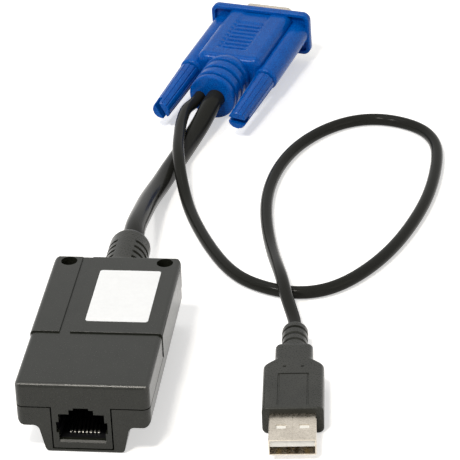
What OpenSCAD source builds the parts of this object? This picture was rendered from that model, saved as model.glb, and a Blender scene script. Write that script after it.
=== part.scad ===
/* [Case] */
// Width of the case across the front section
body_w = 34.2; // [32:0.1:38]
// Length of the case from the socket face to the cable end
body_l = 64; // [60:0.5:76]
// Height of the rear raised panels above the table
body_h = 20.4; // [20:0.1:23]
// Height of the lid, from the parting line to its rear raised panels
lid_h = 7.2; // [6.9:0.1:7.4]
// Depth of the side wings below the parting line
wing_h = 5.4; // [5:0.1:6]
// Thickness of the shell walls
wall = 1.6; // [1.3:0.1:1.8]
// Width of the belly where it meets the wings
belly_top_w = 23.2; // [22.6:0.1:25]
// Width of the flat underside of the belly, before its edges are rounded
belly_base_w = 19.8; // [19.4:0.1:20.6]
// Length of the lower front section of the lid
front_l = 25; // [20:0.5:30]
// Drop from the raised rear panels to the front section
panel_drop = 0.45; // [0.3:0.05:0.8]
// How far the rear of the lid stands proud of each side
rear_proud = 0.2; // [0.1:0.05:0.4]
// Width of the open channel between the two raised panels
channel_w = 2.8; // [2:0.1:4]
// Distance of the channel's middle to the left of the centre line
channel_x = 8.2; // [7:0.1:9]
// Radius of the case's upright front corners
front_corner_r = 2; // [1.5:0.1:3]
// Radius of the case's upright rear corners
rear_corner_r = 2.8; // [2:0.1:3]
// Rounding of the lid's top edges
edge_r = 1.2; // [0.6:0.1:1.4]
// Height of the shadow gap along the parting line
seam_gap = 0.3; // [0.2:0.05:0.4]

/* [Label] */
// Width of the label
label_w = 16.4; // [12:0.1:18]
// Length of the label
label_l = 26.2; // [20:0.1:28]
// Thickness of the label
label_t = 0.12; // [0.1:0.02:0.2]
// Rounding of the label's corners
label_r = 0.8; // [0.4:0.1:1.2]

/* [Case screws] */
// Distance between the two case screws
screw_span = 26; // [25:0.1:27]
// Distance of the case screws from the rear face
screw_inset = 2.9; // [2.8:0.1:3.5]
// Diameter of the wells over the screw heads
well_d = 4.4; // [4.2:0.1:4.6]
// Diameter of the screw heads
screw_head_d = 3.8; // [3.2:0.1:4]
// Diameter of the screw shanks
screw_d = 2; // [1.6:0.1:2.2]

/* [Network socket] */
// Width of the front panel tongue that frames the socket
jack_w = 15; // [14.6:0.1:15.2]
// Offset of the socket's middle from the centre line
jack_x = -0.47; // [-0.6:0.01:0.2]
// Height of the socket's underside above the table
jack_z = 1.25; // [1.1:0.05:1.6]
// Depth of the socket block behind the front panel
jack_l = 15.5; // [14:0.5:18]
// Height of the plug opening's sill above the table
sill_z = 3.45; // [3:0.05:3.7]
// Width of the plug opening at its widest
mouth_w = 13.1; // [12.6:0.1:13.3]
// Pitch of the eight contacts
contact_pitch = 1.02; // [1:0.01:1.08]

/* [Circuit board] */
// Thickness of the circuit board
board_t = 1.6; // [1:0.1:1.6]
// Room behind the circuit board for the boot and the cable's leads
board_room = 8.05; // [7.5:0.1:12]
// Clearance between the board's edge and the shell
board_gap = 0.15; // [0.1:0.05:0.3]

/* [Module strain relief] */
// Diameter of the moulded boot
boot_d = 11.4; // [10.6:0.1:11.8]
// Diameter of the boot where it meets the case
boot_base_d = 13; // [12.4:0.1:13.4]
// Length of the boot outside the case
boot_l = 20.5; // [17:0.5:23]
// Drop of the boot's axis below the parting line
boot_drop = 0.7; // [0.6:0.1:1.2]

/* [Video plug] */
// Length of the plug's flange
flange_w = 33.5; // [33:0.1:34]
// Height of the plug's flange
flange_h = 14.6; // [14.4:0.1:15.4]
// Thickness of the flange's rim
flange_t = 2.5; // [2:0.1:3]
// Width of the hood
hood_w = 21.6; // [20.8:0.1:22]
// Height of the hood
hood_h = 12.4; // [12:0.1:13]
// Length of the hood behind the flange's front face
hood_l = 32.5; // [31.5:0.5:33]
// Distance between the two thumbscrews
screw_pitch = 25; // [24.9:0.1:25.1]
// Outer diameter of the tubes that carry the thumbscrews
tube_d = 7.6; // [7.2:0.1:7.8]
// Length of the thumbscrew tubes behind the flange's front face
tube_l = 33.5; // [33:0.5:35]
// Diameter of the plug's strain relief
relief_d = 15; // [14.6:0.1:15.2]
// Distance from the flange's front face to the strain relief's end
relief_end = 47.5; // [46:0.5:50]
// Nose up angle at which the plug lies on its strain relief
vga_pitch = 4; // [3:0.5:5]

/* [Thumbscrews] */
// Diameter of the thumbscrew grips
knob_d = 6.8; // [6.4:0.1:7]
// Length of the thumbscrew grips
knob_l = 24.5; // [20:0.5:28]
// Diameter of the grips at their free end
knob_tip_d = 5.8; // [5.6:0.1:6.4]
// Free forward travel of the thumbscrews
knob_travel = 1; // [0.6:0.1:1.4]
// Diameter of the thumbscrews' plain steel shank
shank_d = 3.4; // [3.2:0.05:3.6]
// Diameter of the thumbscrews' thread
thread_d = 2.84; // [2.7:0.02:2.9]
// Turn of the left grip's slot
left_slot_turn = 62; // [0:1:90]
// Turn of the right grip's slot
right_slot_turn = 8; // [0:1:90]

/* [USB plug] */
// Width of the plug's metal shell
usb_w = 12; // [12:0.1:12.1]
// Height of the plug's metal shell
usb_h = 4.5; // [4.5:0.1:4.6]
// Thickness of the metal shell
usb_t = 0.3; // [0.25:0.05:0.4]
// Length of the metal shell that shows
usb_l = 12; // [11.8:0.1:12.6]
// Width of the plug's grip
grip_w = 15.8; // [15.4:0.1:16.2]
// Height of the plug's grip
grip_h = 7.8; // [7.6:0.1:8]
// Length of the wide part of the grip
grip_l = 19.5; // [18:0.5:21]
// Width of the grip's neck
neck_w = 9.8; // [9.4:0.1:10.2]
// Diameter of the plug's strain relief
usb_relief_d = 7; // [6.8:0.1:7.4]
// Length of the plug's strain relief
usb_relief_l = 11.5; // [10:0.5:13]

/* [Cables] */
// Diameter of the video cable
vga_cable_d = 6; // [5.6:0.1:6.1]
// Diameter of the USB cable
usb_cable_d = 3.6; // [3.4:0.1:3.7]

/* [Hidden] */

// Round faces, small arcs, and the overrun of every cut
round_fn = 48;
arc_steps = 6;
over = 0.5;
// Gap between pieces that only lie beside each other
gap = 0.1;
// Running clearance of the thumbscrews, and the seat of pressed pieces
running_gap = 0.08;
seat_gap = 0.02;

// Case: places worked out from the driving sizes
front_y = -body_l / 2;
rear_y = body_l / 2;
step_y = front_y + front_l;
seam_z = body_h - lid_h;
wing_z = seam_z - wing_h;
boot_z = seam_z - boot_drop;
front_h = body_h - panel_drop;
rear_w = body_w + 2 * rear_proud;
in_w = body_w - 2 * wall;
in_front_y = front_y + wall;
in_rear_y = rear_y - wall;
ceiling_z = front_h - wall;
wing_floor_z = wing_z + wall;
belly_r = 1.6;
wing_r = 2;
keel_rear_r = 3;
keel_front_r = 0.5;
lip_depth_share = 0.45;
rail_w = 1.6;
rail_l_share = 0.7;
inner_corner_share = 0.4;

// Label
label_x = 4.5;
label_y = 11.3;

// Socket
tongue_gap = 0.35;
mouth_share = [[0, 0.455], [0.245, 0.455], [0.245, 0.5], [0.57, 0.5], [0.57, 0.445], [0.81, 0.445],
    [0.81, 0.24], [0.94, 0.24], [0.94, 0.15], [1, 0.15]];
mouth_h = seam_z - gap / 2 - sill_z;
sill_bevel = 0.5;
contact_count = 8;
contact_w = 0.46;
contact_t = 0.35;
contact_slot_gap = 0.06;
contact_seat_z = 2.4;
contact_front_y = 2.2;
contact_tip_y = 9.5;
contact_tip_rise = 4;
jack_back_wall = 2.2;
jack_inner_wall = 0.8;
mouth_depth = jack_l - jack_back_wall - jack_inner_wall;
jack_end_y = in_front_y + jack_l;

// Board
board_rise = 0.2;
board_z = seam_z + board_rise;
board_top = board_z + board_t;
board_w = in_w - 2 * board_gap;
board_front_y = in_front_y + board_gap;
board_rear_y = in_rear_y - board_room;
board_l = board_rear_y - board_front_y;
lead_t = 0.2;
lead_w = 0.3;

// Parts on the board
chip_leg_l = 1.1;
driver_w = 4.4;
driver_l = 9.8;
driver_h = 1.1;
driver_legs = 12;
driver_pitch = 0.8;
left_column_share = 0.245;
right_column_share = 0.147;
left_x = -board_w * left_column_share;
right_x = board_w * right_column_share;
regulator_setback = 0.9;
regulator_y = jack_end_y + regulator_setback;
cap_setback = 8;
chip_cap_front_y = board_rear_y - cap_setback;
regulator_l = 3.5;
driver_place = [left_x, (regulator_y + regulator_l / 2 + chip_cap_front_y) / 2];
controller_w = 9;
controller_h = 1.3;
controller_legs = 11;
controller_pitch = 0.75;
crystal_setback = 2.9;
crystal_y = jack_end_y + crystal_setback;
crystal_w = 4.4;
header_pin_d = 0.5;
header_l = 4;
header_setback = 10.25;
header_front_y = board_rear_y - header_setback;
header_pin_share = 0.3;
header_pin_y = header_front_y + header_l * header_pin_share;
controller_place = [right_x, (crystal_y + crystal_w / 2 + header_pin_y - header_pin_d / 2) / 2];
crystal_l = 10.8;
crystal_h = 2.9;
crystal_round_share = 0.49;
crystal_place = [right_x, crystal_y];
regulator_w = 6.5;
regulator_h = 1.6;
regulator_place = [left_x, regulator_y];
filter_w = 12.7;
filter_l = 9.4;
filter_h = 5.8;
can_d = 5;
bay_gap = (header_front_y - jack_end_y - filter_l - can_d) / 3;
filter_place = [0, jack_end_y + bay_gap + filter_l / 2];
can_h = 7.5;
can_y = header_front_y - bay_gap - can_d / 2;
chip_cap = [2, 1.25, 0.9];
chip_res = [1.6, 0.8, 0.5];
cap_cols = 3;
cap_rows = 2;
cap_row_pitch = 1.8;
res_cols = 6;
res_rows = 2;
res_setback = 5;
chip_res_y = board_rear_y - res_setback;
chip_res_pitch = 1.8;
res_pitch = 2.2;
small_pitch = 2.6;
lead_count = 6;
lead_colours = [[0.6, 0.1, 0.1], [0.1, 0.45, 0.15], [0.1, 0.2, 0.55], [0.6, 0.6, 0.55],
    [0.65, 0.6, 0.1], [0.12, 0.12, 0.12]];
lead_pitch = 1.5;
header_side = 1.4;
lead_d = 1;
header_h = 4.6;
header_w = lead_count * lead_pitch + header_side;
plug_l = 4.5;
lead_z = board_z - header_h / 2;

// Boot
neck_d = 9.4;
neck_gap = 0.05;
inner_flange_d = 11.4;
inner_flange_l = 2;
boot_inner_y = in_rear_y - inner_flange_l;
boot_end_d = 7;
slot_count = 5;
slot_w = 0.9;
slot_pitch = 2.7;
slot_depth = 1.3;
spine_w = 4.4;
slot_start = 2.2;
boot_flare_share = 0.25;

// Screws in the case
well_floor_rise = 1.4;
well_floor_z = seam_z + well_floor_rise;
head_h = 1.4;
screw_l = 5.6;
post_d = 5.4;
drive_w = 0.5;
drive_l = 2.2;
drive_depth = 0.8;

// Video plug: its own frame has Y towards the mating side and its origin on the flange's front face
vga_x = 21.6;
vga_y = 201;
vga_yaw = 14;
vga_z = relief_d / 2 * cos(vga_pitch) + relief_end * sin(vga_pitch);
flange_r = 2.5;
rim_w = 1.2;
web_t = 1.2;
hood_r = 2.2;
hood_rear_r = 1.6;
panel_w = 8.8;
panel_start = 1.8;
panel_l = 25;
panel_depth = 0.5;
rib_count = 7;
rib_pitch = 2.4;
rib_w = 1;
rib_h = 0.6;
relief_neck_d = 10.8;
groove_w = 1.1;
groove_depth = 1.6;
groove_pitch = 4.4;
groove_count = 3;
groove_start = 35.6;
d_wide = 16.9;
d_high = 8.4;
d_slant = 1.5;
d_r = 1.9;
d_out = 6.6;
d_t = 0.4;
dimple_r = 1.1;
dimple_depth = 0.25;
dimple_shares = [-0.33, -0.11, 0.11, 0.33];
dimple_y_share = 0.62;
plate_w = 30.8;
plate_h = 12.4;
plate_t = 0.8;
pin_d = 0.76;
pin_rows = 3;
pin_cols = 5;
pin_pitch = 2.29;
pin_row_pitch = 1.98;
pin_out = 5.2;
insulator_l = 7.5;
flute_count = 12;
flute_d = 0.7;
flute_depth_share = 0.35;
flute_tilt = atan((knob_d - knob_tip_d) / 2 / knob_l);
slot_wide = 1.7;
slot_deep = 3.4;
thread_out = 5.6;
thread_in = 3;
undercut_d = 2.3;
undercut_y = 0.3;
ring_d = 5.4;
ring_t = 0.6;
ring_y = 27;
grip_bore_share = 0.6;
ring_bite = 0.8;

// USB plug: its own frame has Y from the tip towards the cable
usb_x = 52.6;
usb_y = -32.7;
usb_yaw = 4.5;
usb_z = grip_h / 2;
shell_in = 6;
neck_start = 24;
neck_end = 31.8;
neck_r = 1.2;
grip_r = 1.3;
hole_w = 2.5;
hole_l = 1.8;
hole_x = 2.93;
hole_y = 6.1;
tongue_t = 1.85;
thumb_w = 8;
thumb_l = 16;
thumb_depth = 0.25;
usb_rib_w = 1;
usb_rib_depth = 0.8;
usb_end_d = 5.4;
usb_contact_w = 1;
usb_contact_t = 0.25;
usb_outer_pitch = 7;
usb_inner_pitch = 2;
usb_rib_shares = [0.08, 0.36, 0.64];
mark_share = 0.3;
usb_total = usb_l + neck_end + usb_relief_l;

// Cable routes, control points of a smooth curve
exit_step = 5;
curve_steps = 12;
vga_sides = 12;
vga_rings = 15;
usb_sides = 8;
usb_rings = 62;
vga_offset = 1.3;
usb_offset = -4;
vga_route = [
    [-0.5, 63, 12], [-0.5, 70.5, 10.7], [-0.5, 78.5, 9], [-0.5, 87.5, 7.1], [0, 96.5, 5.2], [1, 105.5, 3.8],
    [2, 114, 3.2], [3.5, 121.5, 3.1], [5, 129.5, 3.2], [6.8, 136.5, 4], [8.7, 143, 5.5]
];
usb_route = [
    [3.3, 146.5, 8], [3, 140.5, 8.2], [3, 134, 8.2], [3.5, 127.5, 8.1], [4, 121, 8.1], [5, 114.5, 7.8],
    [6.2, 108, 6.3], [8, 101.5, 3.9], [10, 95, 2.1], [12.5, 87.5, 1.9], [16, 78.5, 1.9], [20, 69.5, 1.9],
    [25, 60, 1.9], [30.5, 53, 1.9], [37.5, 48.5, 1.9], [45, 46, 1.9], [52.5, 47, 1.9], [59.5, 52, 1.9],
    [66.5, 62, 1.9], [72, 73.5, 1.9], [76.5, 87.5, 1.9], [80, 103, 1.9], [81.5, 119, 1.9], [81.5, 133, 1.9],
    [79.5, 141, 1.9], [75.5, 147.5, 1.9], [68, 152, 1.9], [60, 153.5, 1.9], [51.5, 150.5, 1.9],
    [43, 142, 1.9], [36.5, 129.5, 1.9], [33, 114, 1.9], [32.5, 98, 1.9], [34.5, 83, 1.9], [36.5, 73, 2.2],
    [38.5, 63.5, 3.4], [40.5, 55, 5], [42.5, 47, 6], [44, 40, 5.5], [46, 33.5, 4.5]
];

// Unit vector of a 2D or 3D vector
function unit(v) = v / norm(v);

// Arc that rounds corner b of the outline a, b, c with radius r
function corner_arc(a, b, c, r) =
    let(u = unit(a - b), w = unit(c - b), half = acos(u * w) / 2, d = r / tan(half),
        mid = b + unit(u + w) * r / sin(half), p = b + u * d - mid, q = b + w * d - mid,
        turn = acos(max(-1, min(1, p * q / (r * r)))), s = sign(p[0] * q[1] - p[1] * q[0]))
    [for (i = [0 : arc_steps]) let(t = s * turn * i / arc_steps)
        mid + [p[0] * cos(t) - p[1] * sin(t), p[0] * sin(t) + p[1] * cos(t)]];

// Outline through the points with each corner rounded by its own radius
function rounded(points, radii) =
    let(n = len(points))
    [for (i = [0 : n - 1]) each radii[i] > 0
        ? corner_arc(points[(i + n - 1) % n], points[i], points[(i + 1) % n], radii[i])
        : [points[i]]];

// Rectangle outline from corner a to corner b
function box_points(a, b) = [a, [b[0], a[1]], b, [a[0], b[1]]];

// One point of the smooth curve through a run of four control points
function curve_point(p, t) =
    (pow(1 - t, 3) * p[0] + (3 * pow(t, 3) - 6 * t * t + 4) * p[1]
        + (3 * t + 3 * t * t - 3 * pow(t, 3) + 1) * p[2] + pow(t, 3) * p[3]) / 6;

// The curve's points, a fixed number of them between control points
function curve(points, steps) =
    let(n = len(points), all = concat([2 * points[0] - points[1]], points,
        [2 * points[n - 1] - points[n - 2]]))
    concat([for (i = [0 : n - 2], k = [0 : steps - 1])
        curve_point([all[i], all[i + 1], all[i + 2], all[i + 3]], k / steps)], [points[n - 1]]);

// A fixed number of those points, spread evenly, so that rings lie evenly along the cord
function rings_of(path, first, last, count) =
    let(cut = [for (i = [1 : count - 2]) path[round(i * (len(path) - 1) / (count - 1))]])
    concat([first], cut, [last]);

// Tube swept along ring centres, with its end rings square to the given directions
module swept(centres, dir_start, dir_end, d, sides) {
    n = len(centres);
    dirs = [for (i = [0 : n - 1]) i == 0 ? dir_start : i == n - 1 ? dir_end
        : unit(centres[i + 1] - centres[i - 1])];
    verts = [for (i = [0 : n - 1]) let(side = unit(cross(dirs[i], [0, 0, 1])), up = cross(side, dirs[i]))
        for (k = [0 : sides - 1]) let(t = 360 * (k + 1 / 2) / sides)
            centres[i] + (side * cos(t) + up * sin(t)) * d / 2];
    walls = [for (i = [0 : n - 2], k = [0 : sides - 1])
        let(a = i * sides + k, b = i * sides + (k + 1) % sides)
        each [[a, b, a + sides], [b, b + sides, a + sides]]];
    start_cap = [[for (k = [0 : sides - 1]) sides - 1 - k]];
    end_cap = [[for (k = [0 : sides - 1]) (n - 1) * sides + k]];
    polyhedron(verts, concat(walls, start_cap, end_cap));
}

// A bar of round-ended strokes through the points of a flat path
module stroke(points, t) {
    for (i = [0 : len(points) - 2]) {
        a = points[i];
        b = points[i + 1];
        translate(a) rotate(atan2(b[1] - a[1], b[0] - a[0])) translate([0, -t / 2]) square([norm(b - a), t]);
    }
    for (p = points) translate(p) circle(d = t, $fn = round_fn / 2);
}

// Extrusion along Y of an XZ outline, from y0 to y1
module along_y(y0, y1) {
    translate([0, y1, 0]) rotate([90, 0, 0]) linear_extrude(y1 - y0) children();
}

// Extrusion along X of a YZ outline, from x0 to x1
module along_x(x0, x1) {
    translate([x0, 0, 0]) rotate([90, 0, 90]) linear_extrude(x1 - x0) children();
}

// Cylinder along Y, from y0 to y1
module rod_y(d, y0, y1, fn = round_fn) {
    translate([0, y1, 0]) rotate([90, 0, 0]) cylinder(d = d, h = y1 - y0, $fn = fn);
}

// Solid turned about Y, whose outline gives radius and place along Y
module turned_y(points) {
    rotate([-90, 0, 0]) rotate_extrude($fn = round_fn) polygon(points);
}

// Places the children in the video plug's or the USB plug's own frame
module at_vga() {
    translate([vga_x, vga_y, vga_z]) rotate([vga_pitch, 0, -vga_yaw]) children();
}
module at_usb() {
    translate([usb_x, usb_y, usb_z]) rotate([0, 0, usb_yaw]) children();
}
function vga_dir() = [sin(vga_yaw) * cos(vga_pitch), cos(vga_yaw) * cos(vga_pitch), sin(vga_pitch)];
function vga_side() = [cos(vga_yaw), -sin(vga_yaw), 0];
function vga_exit(offset) = [vga_x, vga_y, vga_z] - vga_dir() * relief_end + vga_side() * offset;
function usb_back() = [-sin(usb_yaw), cos(usb_yaw), 0];
function usb_exit() = [usb_x, usb_y, usb_z] + usb_back() * usb_total;

// Outline of the case seen from above, at a given width and inset
module case_plan(w, inset) {
    hw = w / 2 - inset;
    y0 = front_y + inset;
    y1 = rear_y - inset;
    fr = max(front_corner_r - inset, inner_corner_share * front_corner_r);
    rr = max(rear_corner_r - inset, inner_corner_share * rear_corner_r);
    polygon(rounded([[-hw, y0], [hw, y0], [hw, y1], [-hw, y1]], [fr, fr, rr, rr]));
}

// Shadow gap that is cut from both shells along the parting line
module seam_cut() {
    translate([0, 0, seam_z - seam_gap / 2]) linear_extrude(seam_gap) difference() {
        square([body_w + 4 * wall, body_l + 4 * wall], center = true);
        case_plan(body_w, wall * lip_depth_share);
    }
}

// Outline of the lower shell seen from the front
module shell_section() {
    b = belly_base_w / 2;
    t = belly_top_w / 2;
    w = body_w / 2;
    polygon(rounded([[-b, 0], [b, 0], [t, wing_z], [w, wing_z], [w, seam_z], [-w, seam_z], [-w, wing_z],
        [-t, wing_z]], [belly_r, belly_r, belly_r, wing_r, 0, 0, wing_r, belly_r]));
}

// Hollow of the lower shell seen from the front
module shell_hollow() {
    b = belly_base_w / 2 - wall;
    t = belly_top_w / 2 - wall;
    w = body_w / 2 - wall;
    polygon(rounded([[-b, jack_z - gap], [b, jack_z - gap], [t, wing_floor_z], [w, wing_floor_z],
        [w, seam_z + over], [-w, seam_z + over], [-w, wing_floor_z], [-t, wing_floor_z]],
        [0, 0, belly_r / 2, wing_r / 2, 0, 0, wing_r / 2, belly_r / 2]));
}

module screw_places() {
    for (s = [-1, 1]) translate([s * screw_span / 2, rear_y - screw_inset, 0]) children();
}

module bottom_cover() {
    color([0.22, 0.22, 0.2]) difference() {
        union() {
            difference() {
                intersection() {
                    along_y(front_y, rear_y) shell_section();
                    linear_extrude(seam_z) case_plan(body_w, 0);
                    along_x(-body_w / 2, body_w / 2) polygon(rounded(
                        box_points([front_y, 0], [rear_y, seam_z]), [keel_front_r, keel_rear_r, 0, 0]));
                }
                along_y(in_front_y, in_rear_y) shell_hollow();
            }
            // Posts that take the case screws, and rails that carry the board
            intersection() {
                screw_places() translate([0, 0, wing_z]) cylinder(d = post_d, h = seam_z - wing_z,
                    $fn = round_fn);
                translate([0, 0, wing_z]) linear_extrude(seam_z) case_plan(body_w, wall / 2);
            }
            for (s = [-1, 1]) translate([s * (in_w / 2 - rail_w / 2 - board_gap), board_front_y + board_l / 2,
                (wing_floor_z + board_z - gap) / 2]) cube([rail_w, board_l * rail_l_share,
                board_z - wing_floor_z + gap], center = true);
        }
        // Mouth that takes the lid's front tongue
        translate([jack_x - jack_w / 2 - tongue_gap, front_y - over, jack_z - tongue_gap])
            cube([jack_w + 2 * tongue_gap, wall + 2 * over, seam_z]);
        // Half of the hole that holds the boot's neck
        translate([0, 0, boot_z]) rod_y(neck_d + 2 * neck_gap, in_rear_y - over, rear_y + over);
        translate([-neck_d / 2 - neck_gap, in_rear_y - over, boot_z])
            cube([neck_d + 2 * neck_gap, wall + 2 * over, seam_z]);
        screw_places() translate([0, 0, wing_floor_z - gap]) cylinder(d = screw_d + 2 * seat_gap,
            h = seam_z, $fn = round_fn);
        seam_cut();
    }
}

// Outline of the plug opening, in shares of its height and width
module mouth_outline() {
    left = [for (p = mouth_share) [jack_x - p[1] * mouth_w, sill_z + p[0] * mouth_h]];
    right = [for (i = [len(mouth_share) - 1 : -1 : 0])
        [jack_x + mouth_share[i][1] * mouth_w, sill_z + mouth_share[i][0] * mouth_h]];
    polygon(concat(left, right));
}

// One block of the lid's outside with rounded top edges
module lid_block(w, y0, y1, h, r0, r1) {
    intersection() {
        translate([0, 0, seam_z]) linear_extrude(h - seam_z) case_plan(w, 0);
        along_y(y0, y1) polygon(rounded(box_points([-w / 2, seam_z], [w / 2, h]), [0, 0, edge_r, edge_r]));
        along_x(-w / 2, w / 2) polygon(rounded(box_points([y0, seam_z], [y1, h]), [0, 0, r1, r0]));
    }
}

module top_cover() {
    color([0.25, 0.25, 0.23]) difference() {
        union() {
            difference() {
                union() {
                    lid_block(body_w, front_y, step_y + wall, front_h, edge_r, 0);
                    lid_block(rear_w, step_y, rear_y, body_h, panel_drop / 2, edge_r / 2);
                }
                // Channel between the raised panels, open to the front section and the rear
                translate([-channel_x - channel_w / 2, step_y - over, front_h])
                    cube([channel_w, body_l, panel_drop + over]);
                translate([0, 0, seam_z - over]) linear_extrude(ceiling_z - seam_z + over)
                    case_plan(body_w, wall);
            }
            // Tubes round the screw wells
            intersection() {
                screw_places() translate([0, 0, seam_z]) cylinder(d = well_d + 2 * wall,
                    h = front_h - seam_z, $fn = round_fn);
                translate([0, 0, seam_z]) linear_extrude(front_h - seam_z) case_plan(body_w, wall / 2);
            }
            // Tongue that closes the front round the socket
            along_y(front_y, in_front_y) polygon(rounded(box_points([jack_x - jack_w / 2, jack_z],
                [jack_x + jack_w / 2, seam_z + wall]), [tongue_gap, tongue_gap, 0, 0]));
        }
        screw_places() translate([0, 0, well_floor_z]) cylinder(d = well_d, h = body_h, $fn = round_fn);
        screw_places() translate([0, 0, seam_z - over]) cylinder(d = screw_d + 2 * gap, h = body_h,
            $fn = round_fn);
        along_y(front_y - over, in_front_y + over) mouth_outline();
        // Bevel along the sill of the plug opening
        along_x(jack_x - mouth_w * mouth_share[0][1], jack_x + mouth_w * mouth_share[0][1])
            polygon([[front_y - over, sill_z - sill_bevel - over],
                [front_y + sill_bevel + over, sill_z + over], [front_y - over, sill_z + over]]);
        translate([0, 0, boot_z]) rod_y(neck_d + 2 * neck_gap, in_rear_y - over, rear_y + over);
        difference() {
            seam_cut();
            translate([jack_x - jack_w / 2, front_y - over, 0]) cube([jack_w, wall + over, body_h]);
        }
    }
}

module label() {
    color("white") translate([label_x, label_y, body_h]) linear_extrude(label_t) polygon(rounded(
        box_points([-label_w / 2, -label_l / 2], [label_w / 2, label_l / 2]), [for (i = [0 : 3]) label_r]));
}

module case_screws() {
    color([0.2, 0.2, 0.21]) screw_places() difference() {
        union() {
            translate([0, 0, well_floor_z]) cylinder(d = screw_head_d, h = head_h, $fn = round_fn);
            translate([0, 0, well_floor_z - screw_l + over])
                cylinder(d = screw_d, h = screw_l, $fn = round_fn);
        }
        for (a = [0, 90]) rotate(a) translate([-drive_l / 2, -drive_w / 2,
            well_floor_z + head_h - drive_depth]) cube([drive_l, drive_w, head_h]);
    }
}

// Path of one socket contact, from its tail in the board to its free tip
function contact_path() = [[board_top + lead_t, jack_l - jack_back_wall / 2],
    [contact_seat_z, jack_l - jack_back_wall / 2], [contact_seat_z, contact_front_y],
    [sill_z + contact_t, contact_front_y - contact_t],
    [contact_seat_z + contact_tip_rise + contact_t, contact_tip_y]];

// Strokes of one contact, thickened and widened by clear on all sides
module contact_bar(clear) {
    pts = [for (p = contact_path()) [p[1] + in_front_y, p[0]]];
    along_x(-contact_w / 2 - clear, contact_w / 2 + clear) stroke(pts, contact_t + 2 * clear);
}

module contact_places() {
    for (i = [0 : contact_count - 1])
        translate([jack_x + (i - (contact_count - 1) / 2) * contact_pitch, 0, 0]) children();
}

module main_board() {
    color([0.05, 0.3, 0.15]) difference() {
        translate([-board_w / 2, board_front_y, board_z]) cube([board_w, board_l, board_t]);
        contact_places() contact_bar(contact_slot_gap);
        for (x = header_xs()) translate([x, header_pin_y, board_z - over])
            cylinder(d = header_pin_d + 2 * contact_slot_gap, h = board_t + 2 * over, $fn = round_fn / 2);
    }
}

module socket_block() {
    color([0.1, 0.1, 0.1]) difference() {
        translate([jack_x - jack_w / 2, in_front_y, jack_z])
            cube([jack_w, jack_l, board_z - jack_z]);
        translate([0, -seat_gap, 0]) along_y(in_front_y - over, in_front_y + mouth_depth) mouth_outline();
        contact_places() contact_bar(contact_slot_gap);
    }
}

module socket_contacts() {
    color([0.85, 0.7, 0.35]) contact_places() contact_bar(0);
}

// Chip with gull-wing legs along its two long sides, standing on the board
module chip(w, l, h, legs, pitch, four = false) {
    translate([-w / 2, -l / 2, lead_t]) cube([w, l, h]);
    for (s = [-1, 1], i = [0 : legs - 1]) translate([s * w / 2, (i - (legs - 1) / 2) * pitch, 0]) {
        translate([-chip_leg_l * (1 - s) / 2, -lead_w / 2, 0]) cube([chip_leg_l, lead_w, lead_t]);
        translate([-chip_leg_l / 4 - over / 4, -lead_w / 2, 0])
            cube([chip_leg_l / 2 + over / 2, lead_w, h / 2]);
    }
    if (four) for (s = [-1, 1], i = [0 : legs - 1]) translate([(i - (legs - 1) / 2) * pitch, s * l / 2, 0]) {
        translate([-lead_w / 2, -chip_leg_l * (1 - s) / 2, 0]) cube([lead_w, chip_leg_l, lead_t]);
        translate([-lead_w / 2, -chip_leg_l / 4 - over / 4, 0])
            cube([lead_w, chip_leg_l / 2 + over / 2, h / 2]);
    }
}

module driver_chip() {
    color([0.08, 0.08, 0.09]) translate([driver_place[0], driver_place[1], board_top])
        chip(driver_w, driver_l, driver_h, driver_legs, driver_pitch);
}

module controller_chip() {
    color([0.08, 0.08, 0.09]) translate([controller_place[0], controller_place[1], board_top])
        chip(controller_w, controller_w, controller_h, controller_legs, controller_pitch, true);
}

module crystal() {
    color([0.75, 0.76, 0.78]) translate([crystal_place[0], crystal_place[1], board_top])
        linear_extrude(crystal_h) polygon(rounded(box_points([-crystal_l / 2, -crystal_w / 2],
            [crystal_l / 2, crystal_w / 2]), [for (i = [0 : 3]) crystal_w * crystal_round_share]));
}

module voltage_regulator() {
    color([0.09, 0.09, 0.1]) translate([regulator_place[0], regulator_place[1], board_top]) {
        translate([-regulator_w / 2, -regulator_l / 2, 0]) cube([regulator_w, regulator_l, regulator_h]);
        translate([-regulator_w / 4, regulator_l / 2 - over, 0])
            cube([regulator_w / 2, regulator_l / 2 + over, lead_t]);
        for (i = [-1 : 1]) translate([i * regulator_w / 3 - lead_w, -regulator_l, 0])
            cube([2 * lead_w, regulator_l / 2 + over, lead_t]);
    }
}

module line_filter() {
    color([0.07, 0.07, 0.07]) translate([filter_place[0] - filter_w / 2, filter_place[1] - filter_l / 2,
        board_z - filter_h]) cube([filter_w, filter_l, filter_h]);
}

module can_capacitors() {
    color([0.16, 0.2, 0.35]) for (s = [-1, 1]) translate([s * (can_d / 2 + gap), can_y, board_z - can_h])
        cylinder(d = can_d, h = can_h, $fn = round_fn);
}

module chip_capacitors() {
    color([0.6, 0.5, 0.38]) for (i = [0 : cap_cols - 1], j = [0 : cap_rows - 1])
        translate([left_x + (i - (cap_cols - 1) / 2) * small_pitch - chip_cap[0] / 2,
            chip_cap_front_y + j * cap_row_pitch, board_top])
        cube(chip_cap);
}

module chip_resistors() {
    color([0.12, 0.12, 0.13]) for (i = [0 : res_cols - 1], j = [0 : res_rows - 1])
        translate([right_x + (i - (res_cols - 1) / 2) * res_pitch - chip_res[0] / 2,
            chip_res_y + j * chip_res_pitch, board_top])
        cube(chip_res);
}

// Wafer under the board, its plug, and the leads from the cable
function header_xs() = [for (i = [0 : lead_count - 1]) (i - (lead_count - 1) / 2) * lead_pitch];

module cable_header() {
    color([0.85, 0.83, 0.76]) {
        translate([-header_w / 2, header_front_y, board_z - header_h]) cube([header_w, header_l, header_h]);
        for (x = header_xs()) translate([x, header_pin_y, board_z - over])
            cylinder(d = header_pin_d, h = board_t + 2 * over, $fn = round_fn / 2);
    }
}

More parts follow.
